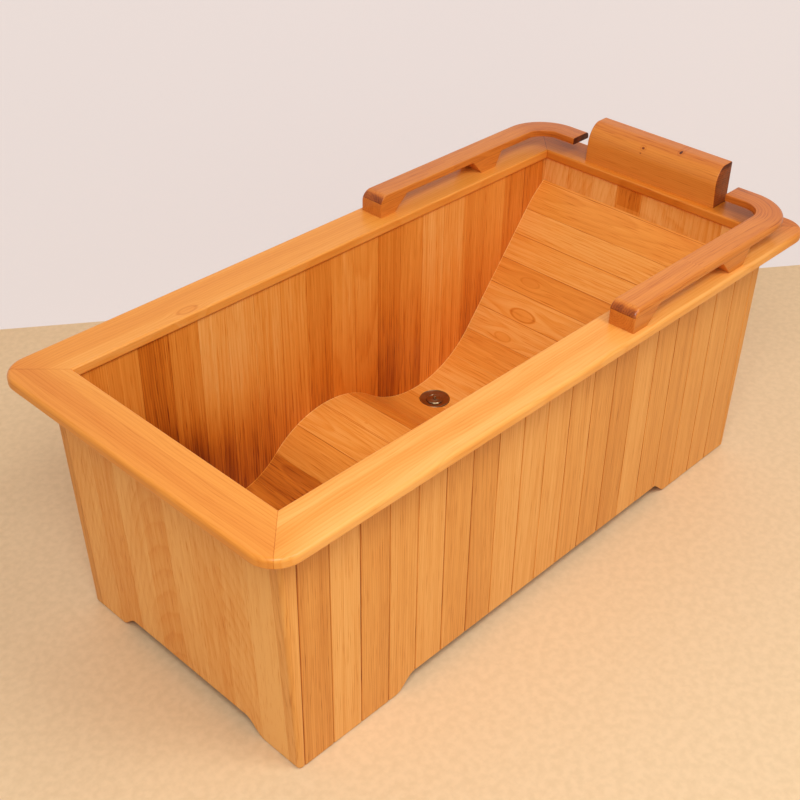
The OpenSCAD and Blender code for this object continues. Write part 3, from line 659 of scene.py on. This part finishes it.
def closed_surface(name, rings, grain=None):
    """A closed piece through rings of points: rings[i, j] is point j of ring i.

    Quads join each ring to the next, and one flat face closes each end. The sign of the
    volume, a sum of triple products, tells whether the faces look outwards. Edges sharper than
    SHARP stay crisp. grain gives each point its place in the plank that the piece is cut or
    bent from.
    """
    rows, count = rings.shape[:2]
    points = rings.reshape(-1, 3)
    index = np.arange(rows * count).reshape(rows, count)
    a, d = index[:-1], index[1:]
    quads = np.stack([a, np.roll(a, -1, axis=1), np.roll(d, -1, axis=1), d], axis=-1)
    quads = quads.reshape(-1, 4)
    ends = np.stack([index[0][::-1], index[-1]])
    centred = points - points.mean(axis=0)
    p, q, r = (centred[quads[:, k]] for k in (0, 1, 2))
    if np.einsum("ij,ij->i", p, np.cross(q, r)).sum() < 0:
        quads, ends = quads[:, ::-1], ends[:, ::-1]
    mesh = bpy.data.meshes.new(name)
    mesh.from_pydata(points.tolist(), [], quads.tolist() + ends.tolist())
    mesh.shade_smooth()
    mesh.set_sharp_from_angle(angle=SHARP)
    if grain is not None:
        place = mesh.attributes.new("plank_place", "FLOAT_VECTOR", "POINT")
        place.data.foreach_set("vector", grain.reshape(-1).astype(np.float32))
    piece = bpy.data.objects.new(name, mesh)
    bpy.context.scene.collection.objects.link(piece)
    print(name, len(points), "points")
    return piece


def rounded(distance, radius):
    """How far a quarter round has drawn in at a distance from its end.

    It is radius - sqrt(radius^2 - (radius - distance)^2), and nothing past the radius.
    """
    left = np.clip(radius - distance, 0, radius)
    return radius - np.sqrt(radius ** 2 - left ** 2)


print("surface helper ready")

# %% Handrail measures
# Where the front end, the head side and the hook's end lie, and the sides of the plank
RAIL_FRONT, RAIL_HEAD, RAIL_HOOK = 0.141, 0.771, 0.216
RAIL_INSIDE, RAIL_OUTSIDE = 0.317, 0.378
RAIL_TOP, PLANK_LOW = 0.651, 0.634
# Radii: the bend's outside, the front end, the soft edge, the crisp edges and the hook's end
RAIL_BEND, RAIL_NOSE, RAIL_SOFT, RAIL_CRISP, RAIL_EASE = 0.112, 0.022, 0.010, 0.0025, 0.0015
# Distances along the rail, and the lengths over which the blocks flare into the plank
FOOT_END, FOOT_FLARE = 0.046, 0.040
POST_START, POST_END = 0.344, 0.396
POST_FLARES = (0.031, 0.020)
rail_wide = RAIL_OUTSIDE - RAIL_INSIDE
rail_middle = RAIL_BEND - rail_wide / 2
rail_straight = RAIL_HEAD - RAIL_BEND - RAIL_FRONT
rail_turn = rail_middle * math.pi / 2
rail_length = rail_straight + rail_turn + (RAIL_OUTSIDE - RAIL_BEND - RAIL_HOOK)
print("rail length", round(rail_length * 1000), "mm")

# %% Handrail shape
MEAN_STEP, MEAN_REACH = 0.0005, 5


def rail_underside(s):
    """Height of the rail's underside above the rim at distances s along it.

    Straight lines rise from the foot and the post to the level of the plank: the gap times the
    least of 1, (s - foot end) / flare and (post start - s) / flare. A running mean over about 5
    mm rounds their meeting points, and what would be under the rim is cut off.
    """
    fine = np.arange(-0.02, rail_length + 0.02, MEAN_STEP)
    gap = PLANK_LOW - RIM_TOP
    foot = (fine - FOOT_END) / FOOT_FLARE
    front = (POST_START - fine) / POST_FLARES[0]
    rear = (fine - POST_END) / POST_FLARES[1]
    before = fine < (POST_START + POST_END) / 2
    line = gap * np.minimum(1, np.where(before, np.minimum(foot, front), rear))
    weights = np.full(2 * MEAN_REACH + 1, 1 / (2 * MEAN_REACH + 1))
    line = np.convolve(np.pad(line, MEAN_REACH, mode="edge"), weights, mode="valid")
    return np.clip(np.interp(s, fine, line), 0, None)


def rail_distances():
    """Distances along the rail where a ring lies, closer together where the shape turns."""
    bend_end = rail_straight + rail_turn
    nose = RAIL_NOSE * (1 - np.cos(np.linspace(0, math.pi / 2, 16)))
    tail = rail_length - RAIL_EASE * (1 - np.cos(np.linspace(math.pi / 2, 0, 5)))
    return np.unique(np.concatenate([nose, np.arange(RAIL_NOSE, rail_straight, 0.0025),
                                     np.linspace(rail_straight, bend_end, 44),
                                     np.linspace(bend_end, rail_length - RAIL_EASE, 8), tail]))


def rail_rings(side):
    """Rings of a handrail, and each point's place in the plank.

    side is 1 for the far rail and -1 for the near one. The middle of the path is straight up to
    the bend, then x = end + m sin t and y = middle - m (1 - cos t) for a bend of radius m, and
    then straight again. A ring is four quarter rounds of radius r about (u0, w0): u = u0 + r cos
    a across the path and w = w0 + r sin a in height.
    """
    s = rail_distances()
    turn = np.clip((s - rail_straight) / rail_middle, 0, math.pi / 2)
    after = np.clip(s - rail_straight - rail_turn, 0, None)
    x = RAIL_FRONT + np.clip(s, 0, rail_straight) + rail_middle * np.sin(turn)
    y = (RAIL_INSIDE + RAIL_OUTSIDE) / 2 - rail_middle * (1 - np.cos(turn)) - after
    shut = rounded(rail_length - s, RAIL_EASE)
    half = rail_wide / 2 - rounded(s, RAIL_CRISP) - shut
    top = RAIL_TOP - rounded(s, RAIL_NOSE) - shut
    under = rail_underside(s)
    low = RIM_TOP + under + shut
    edge_low = np.clip(under * 0.2, 0.0003, RAIL_CRISP)
    quarter = np.linspace(0, math.pi / 2, 8)
    ring = []
    for sign, r, level, begin in ((1, RAIL_SOFT, top, 0), (-1, RAIL_CRISP, top, 1),
                                  (-1, edge_low, low, 2), (1, edge_low, low, 3)):
        r = np.broadcast_to(r, s.shape)[:, None]
        angle = quarter[None] + begin * math.pi / 2
        inward = 1 if begin < 2 else -1
        u = sign * (half[:, None] - r) + r * np.cos(angle)
        w = level[:, None] - inward * r + r * np.sin(angle)
        ring.append(np.stack([u, w], axis=-1))
    ring = np.concatenate(ring, axis=1)
    u, w = ring[..., 0], ring[..., 1]
    rings = np.stack([x[:, None] + u * np.sin(turn)[:, None],
                      side * (y[:, None] + u * np.cos(turn)[:, None]), w], axis=-1)
    return rings, np.stack([np.broadcast_to(s[:, None], u.shape), u, w], axis=-1)


rails = {}
for side, node in ((1, "handrail_far"), (-1, "handrail_near")):
    piece = closed_surface(node + "_shaped", *rail_rings(side))
    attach(piece, "tub")
    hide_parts(node)
    rails[node] = piece

# %% [markdown]
# ## Headrest
# One block that stands on the head rim. Its front rises straight and rolls over into a flat top,
# its back leans out a little, and its ends lean in. A cube with a Bevel modifier would round all
# its edges alike, and this block's edges are all different. So the section is a closed line of
# straights, a quarter ellipse for the roll and a small round at the back. It is carried along Y,
# and near each end it is drawn in by a quarter round, which eases the edge all round.

# %% Headrest shape
# The front, and the back at the rim and at the top
REST_FRONT, REST_BACK, REST_OUT = 0.7215, 0.776, 0.785
# How far back and down the roll goes
REST_ROLL = (0.036, 0.050)
REST_CRISP, REST_EASE = 0.003, 0.003
# How much shorter each end gets per metre of height
REST_LEAN = 0.05
rest_high = box_of("headrest")[1]


def rest_section():
    """Points of the section in X and Z, from the front's foot over the top to the back.

    The roll is x = front + wide (1 - cos t) and z = top - high (1 - sin t), a quarter ellipse.
    The round at the back is x = x0 + r sin t and z = z0 + r cos t. Straights join them.
    """
    wide, high = REST_ROLL
    angle = np.linspace(0, math.pi / 2, 22)
    roll = np.stack([REST_FRONT + wide * (1 - np.cos(angle)),
                     rest_high[2] - high * (1 - np.sin(angle))], 1)
    rise = np.stack([np.full(12, REST_FRONT), np.linspace(RIM_TOP, roll[0, 1], 13)[:-1]], 1)
    back_top = np.array((REST_OUT - REST_CRISP, rest_high[2] - REST_CRISP))
    flat = np.linspace(roll[-1], (back_top[0], rest_high[2]), 8)[1:-1]
    corner = back_top + REST_CRISP * np.stack([np.sin(angle[::3]), np.cos(angle[::3])], 1)
    back = np.linspace(corner[-1], (REST_BACK, RIM_TOP), 12)[1:]
    foot = np.linspace(back[-1], rise[0], 9)[1:-1]
    return np.concatenate([rise, roll, flat, corner, back, foot])


def rest_rings():
    """The section carried along Y, from one end to the other.

    Near an end each point moves inwards, at right angles to the section, by a quarter round. At
    height z the half length is that at the rim - lean * (z - rim top).
    """
    line = rest_section()
    step = np.roll(line, -1, axis=0) - np.roll(line, 1, axis=0)
    outward = np.stack([-step[:, 1], step[:, 0]], axis=1)
    outward /= np.linalg.norm(outward, axis=1, keepdims=True)
    from_end = np.concatenate([REST_EASE * (1 - np.cos(np.linspace(0, math.pi / 2, 6))),
                               np.linspace(REST_EASE, rest_high[1], 20)[1:]])
    inset = rounded(from_end, REST_EASE)
    section = line[None] - outward[None] * inset[:, None, None]
    section[..., 1] = np.maximum(section[..., 1], RIM_TOP)
    half = rest_high[1] - REST_LEAN * (section[..., 1] - RIM_TOP)
    y = half * (1 - from_end[:, None] / rest_high[1])
    side = np.stack([section[..., 0], y, section[..., 1]], axis=-1)
    other = (side * (1, -1, 1))[::-1]
    return np.concatenate([side, other[1:]])


headrest = closed_surface("headrest_shaped", rest_rings())
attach(headrest, "tub")
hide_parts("headrest")

# %% [markdown]
# ## Rail and headrest wood
# A redder wood than the tub's, under a glossier coat. On object coordinates the grain would run
# straight on across the bend. A bent plank's grain goes round the corner with it, and the shape
# stored each point's place in the straight plank for that. The foot and the post are blocks of
# their own under a fine glue line. Where the wood is cut across its grain it drinks the finish,
# goes dark and stays dull. The hook's end and the headrest's ends, which face each other across a
# narrow gap, are darker still, as painted shade on top of their end grain. The headrest has a few
# pin knots.

# %% Red finish
RED_STOPS = [(0.0, paint(238, 162, 74)), (0.3, paint(223, 137, 52)), (0.6, paint(196, 105, 33)),
             (0.8, paint(152, 72, 22)), (1.0, paint(84, 34, 12))]
RED = dict(HONEY, base=0.40, spread=0.0, ring=0.0050, figure=0.18, side=0.07, below=0.02,
           wander=0.05, band=0.28, streak=0.15, pore=0.18)
RED_COAT, RED_GLOSS, END_COAT = 0.35, 0.14, 0.05
RED_RELIEF = 0.00007
# How much darker: the plank's front end, the block under it, the hook's end (end grain and painted
# shade), the bend, a glue line
PLANK_END, BLOCK_END, HOOK_END_GRAIN_AND_SHADE, BEND_TONE, GLUE_TONE = 0.34, 0.04, 0.40, 0.14, 0.24
# How far along the front ends and the hook's end reach, where the bend's tone comes on, from the
# end of the straight, and where the glue line fades out and is full, from its joint
FRONT_REACH, HOOK_REACH, BEND_FADE, GLUE_LINE = 0.06, 0.004, (-0.05, 0.06), (0.0008, 0.0002)
# How much darker: the headrest's ends (end grain and painted shade), its top, a pin knot's heart
# and the ring round it
REST_END_GRAIN_AND_SHADE, REST_TOP_TONE, PIN_HEART, PIN_RING = 0.50, 0.16, 0.55, 0.12
REST_TOP_HEIGHTS = (0.680, 0.694)
# Pin knots: Y, Z and half length along the grain
PINS = ((0.028, 0.679, 0.0050), (0.031, 0.667, 0.0022), (-0.066, 0.693, 0.0045))


def end_mask(finish, axis):
    """1 where the surface looks along an axis, 0 where it looks across it."""
    normal = finish.node("ShaderNodeTexCoord", out="Normal")
    return finish.parts(normal)[axis].size().rise(0.30, 0.80)


def red_wood(finish, dark, relief, end):
    """Puts the darkness and the relief on, with less coat where end is 1."""
    finish.set("Coat Weight", end * (END_COAT - RED_COAT) + RED_COAT)
    finish.set("Base Color", finish.ramp(dark, RED_STOPS))
    finish.bump(relief, RED_RELIEF)
    return finish


def rail_finish(name, seed):
    """Red wood whose grain follows the plank round the bend.

    The foot, the post and the front and rear of the plank have numbers of their own, from
    whether a point is in the plank and how far along it lies.
    """
    finish = lacquered(name, RED_COAT, RED_GLOSS)
    place = finish.node("ShaderNodeAttribute", {"attribute_name": "plank_place"}, out="Vector")
    along, across, height = finish.parts(place)
    plank = height.over(PLANK_LOW)
    board = plank * 4.0 + seed + along.over(POST_START - 0.1)
    dark, relief = wood(finish, along, across, height - RAIL_TOP, board, RED)
    at_front = (1.0 - along.over(FRONT_REACH)) * end_mask(finish, 0)
    at_hook = along.over(rail_length - HOOK_REACH) * end_mask(finish, 1)
    glue = (height - PLANK_LOW).size().rise(*GLUE_LINE)
    dark = dark + along.rise(*(rail_straight + past for past in BEND_FADE)) * BEND_TONE
    dark = dark + at_front * (plank * (PLANK_END - BLOCK_END) + BLOCK_END)
    # The hook's end: end grain and painted shade from the narrow gap to the headrest.
    return red_wood(finish, dark + at_hook * HOOK_END_GRAIN_AND_SHADE + glue * GLUE_TONE, relief, at_hook)


def rest_finish(name, seed):
    """Red wood with its grain along Y, a few pin knots, and dark end grain with painted shade on
    it.
    """
    finish = lacquered(name, RED_COAT, RED_GLOSS)
    x, y, z = finish.place()
    dark, relief = wood(finish, y, z, x - REST_FRONT, seed, dict(RED, base=0.30))
    for pin_y, pin_z, half in PINS:
        away = from_knot(y, z, (pin_y, pin_z), (half, half * 0.7))
        dark = dark + away.rise(1.0, 0.5) * PIN_HEART
        dark = dark + (away - 1.5).size().rise(0.6, 0.0) * PIN_RING
    end = end_mask(finish, 1)
    # The ends: end grain and painted shade from the narrow gap to the hooks.
    dark = dark + end * REST_END_GRAIN_AND_SHADE + z.rise(*REST_TOP_HEIGHTS) * REST_TOP_TONE
    return red_wood(finish, dark, relief, end)


for side, seed in (("near", 301.0), ("far", 317.0)):
    node = "handrail_" + side
    rail_finish("finish_rail_" + side, seed).wear_on(NODES[node], rails[node])
rest_finish("finish_headrest", 311.0).wear_on(NODES["headrest"], headrest)
print("red wood done")

# %% [markdown]
# ## Bare wood, bronze and rubber
# Under the seat the wood has no finish, only a paler tone and a rougher surface. The waste fitting
# is turned bronze. One flat metal colour would do for so small a piece, but a faint patina, a
# noise that moves its colour and its roughness together, keeps it from looking like plastic. Its
# seals and the glides under the feet are black rubber with a little dust.

# %% Bare wood
BARE = dict(HONEY, base=0.30, spread=0.0, figure=0.12)
BARE_STOPS = [(0.0, paint(232, 196, 146)), (0.5, paint(206, 158, 104)), (1.0, paint(140, 92, 50))]
BARE_NODES = ("cleats_near", "cleats_far", "floor_bearers", "back_bearers", "rim_splines",
              "handrail_dowels", "headrest_dowels")
finish = Finish("finish_bare_wood", Roughness=0.7)
x, y, z = finish.place()
dark, relief = wood(finish, y, x, z, 5.0, BARE)
finish.set("Base Color", finish.ramp(dark, BARE_STOPS))
finish.wear_on(*[NODES[node] for node in BARE_NODES])
print("bare wood on", len(BARE_NODES), "nodes")

# %% Bronze and rubber
PATINA_SCALE, DUST_SCALE = 60.0, 300.0
RUBBER_NODES = ("drain_gasket", "drain_washer", "stopper_seal", "floor_glides")
finish = Finish("finish_bronze", Metallic=1.0)
patina = finish.noise(*[axis * PATINA_SCALE for axis in finish.place()], 1.0)
finish.set("Base Color", finish.blend(patina.rise(0.35, 0.65), paint(148, 126, 96),
                                      paint(160, 138, 108)))
finish.set("Roughness", patina.rise(0.3, 0.7, 0.28, 0.34))
finish.wear_on(*[NODES[node] for node in NODES if node.startswith(("drain_", "stopper_"))])

finish = Finish("finish_rubber", Roughness=0.6)
dust = finish.noise(*[axis * DUST_SCALE for axis in finish.place()])
finish.set("Base Color", finish.blend(dust, paint(28, 27, 26), paint(44, 42, 40)))
finish.wear_on(*[NODES[node] for node in RUBBER_NODES])
print("bronze and rubber done")

# %% [markdown]
# ## Floor and backdrop
# A plain sandy floor and a pale wall behind. They are only a stage, so they aren't part of the
# object. A wall this pale could be lit by more lamps, but those would bleach the wood. Instead most
# of its colour is a glow that only the camera and reflections see, which the Light Path node
# tells, so it adds no light to the tub. From behind the wall is see-through, so the tub can be
# looked at from the far side too.

# %% Stage
STAGE_REACH = 9.0
# Two points where the wall meets the floor, at the left and the right of the picture
WALL_LEFT, WALL_RIGHT = np.array((-0.160, 1.340, 0.0)), np.array((1.620, 0.060, 0.0))


def stage_sheet(name, corners):
    """A flat four-cornered sheet that belongs to the studio."""
    mesh = bpy.data.meshes.new(name)
    mesh.from_pydata([tuple(map(float, c)) for c in corners], [], [(0, 1, 2, 3)])
    sheet = bpy.data.objects.new(name, mesh)
    bpy.context.scene.collection.objects.link(sheet)
    return sheet


floor = stage_sheet("studio_floor", np.array(
    [(-1, -1, 0), (1, -1, 0), (1, 1, 0), (-1, 1, 0)]) * STAGE_REACH)
wall_way = (WALL_RIGHT - WALL_LEFT) / np.linalg.norm(WALL_RIGHT - WALL_LEFT)
wall_from = WALL_LEFT - wall_way * STAGE_REACH
wall_to = WALL_RIGHT + wall_way * STAGE_REACH
lift = np.array((0, 0, STAGE_REACH / 2))
wall = stage_sheet("studio_wall", [wall_from, wall_to, wall_to + lift, wall_from + lift])
print("wall from", np.round(wall_from, 2).tolist(), "to", np.round(wall_to, 2).tolist())

# %% Floor and wall finishes
GLOW_SHARE = 0.8
SPECK_SCALE, HAZE_SCALE = 60.0, 1.5
finish = Finish("finish_floor", Roughness=0.5)
x, y, z = finish.place()
speck = finish.noise(x * SPECK_SCALE, y * SPECK_SCALE, z, 5.0)
finish.set("Base Color", finish.blend(speck.rise(0.3, 0.7), paint(228, 198, 155),
                                      paint(236, 206, 164)))
finish.wear_on(floor)

finish = Finish("finish_wall", Roughness=0.8)
haze = finish.noise(*[axis * HAZE_SCALE for axis in finish.place()])
finish.set("Base Color", finish.blend(haze, paint(238, 230, 228), paint(244, 237, 236)))
paint_coat = Value(finish, finish.shader.outputs[0])
glow = finish.node("ShaderNodeEmission", None, {"Color": paint(236, 223, 218), "Strength": 1.0})
from_camera, from_gloss, from_glass = finish.outputs(
    finish.node("ShaderNodeLightPath"),
    ("Is Camera Ray", "Is Glossy Ray", "Is Transmission Ray"))
seen = (from_camera + from_gloss + from_glass) * GLOW_SHARE
front = finish.node("ShaderNodeMixShader", None, {0: seen, 1: paint_coat, 2: glow})
behind = finish.node("ShaderNodeNewGeometry", out="Backfacing")
clear = finish.node("ShaderNodeBsdfTransparent")
finish.feed(finish.tree.nodes["Material Output"].inputs["Surface"],
            finish.node("ShaderNodeMixShader", None, {0: behind, 1: front, 2: clear}))
finish.wear_on(wall)
print("floor and wall finished")

# %% [markdown]
# ## Light
# Small lamps would draw hard shadows and bright spots on the coat. Two broad ones high over the
# near side, the stronger of them towards the foot end, and even pale air all round give the soft
# shadows of a bright room. Their level is one at which a colour shows about as it is written.

# %% Light
AIR_STRENGTH = 0.41
LAMP_TARGET = Vector((0.0, 0.0, 0.3))
# Each lamp's place, side in metres and power in watts
LAMPS = {"lamp_left": ((-1.9, -1.6, 3.0), 1.4, 58), "lamp_right": ((0.3, -2.1, 3.2), 1.3, 44)}
world = bpy.data.worlds.new("studio_air")
world.use_nodes = True
bpy.context.scene.world = world
air = world.node_tree.nodes["Background"]
air.inputs["Color"].default_value = paint(252, 248, 244)
air.inputs["Strength"].default_value = AIR_STRENGTH


def soft_lamp(name, place, side, power):
    """A square lamp at place that faces the middle of the tub."""
    data = bpy.data.lights.new(name, "AREA")
    data.shape = "SQUARE"
    data.size = side
    data.energy = power
    lamp = bpy.data.objects.new(name, data)
    facing = (LAMP_TARGET - Vector(place)).to_track_quat("-Z", "Y").to_matrix().to_4x4()
    lamp.matrix_world = Matrix.Translation(place) @ facing
    bpy.context.scene.collection.objects.link(lamp)


for name, (place, side, power) in LAMPS.items():
    soft_lamp(name, place, side, power)
print("lamps", len(LAMPS))
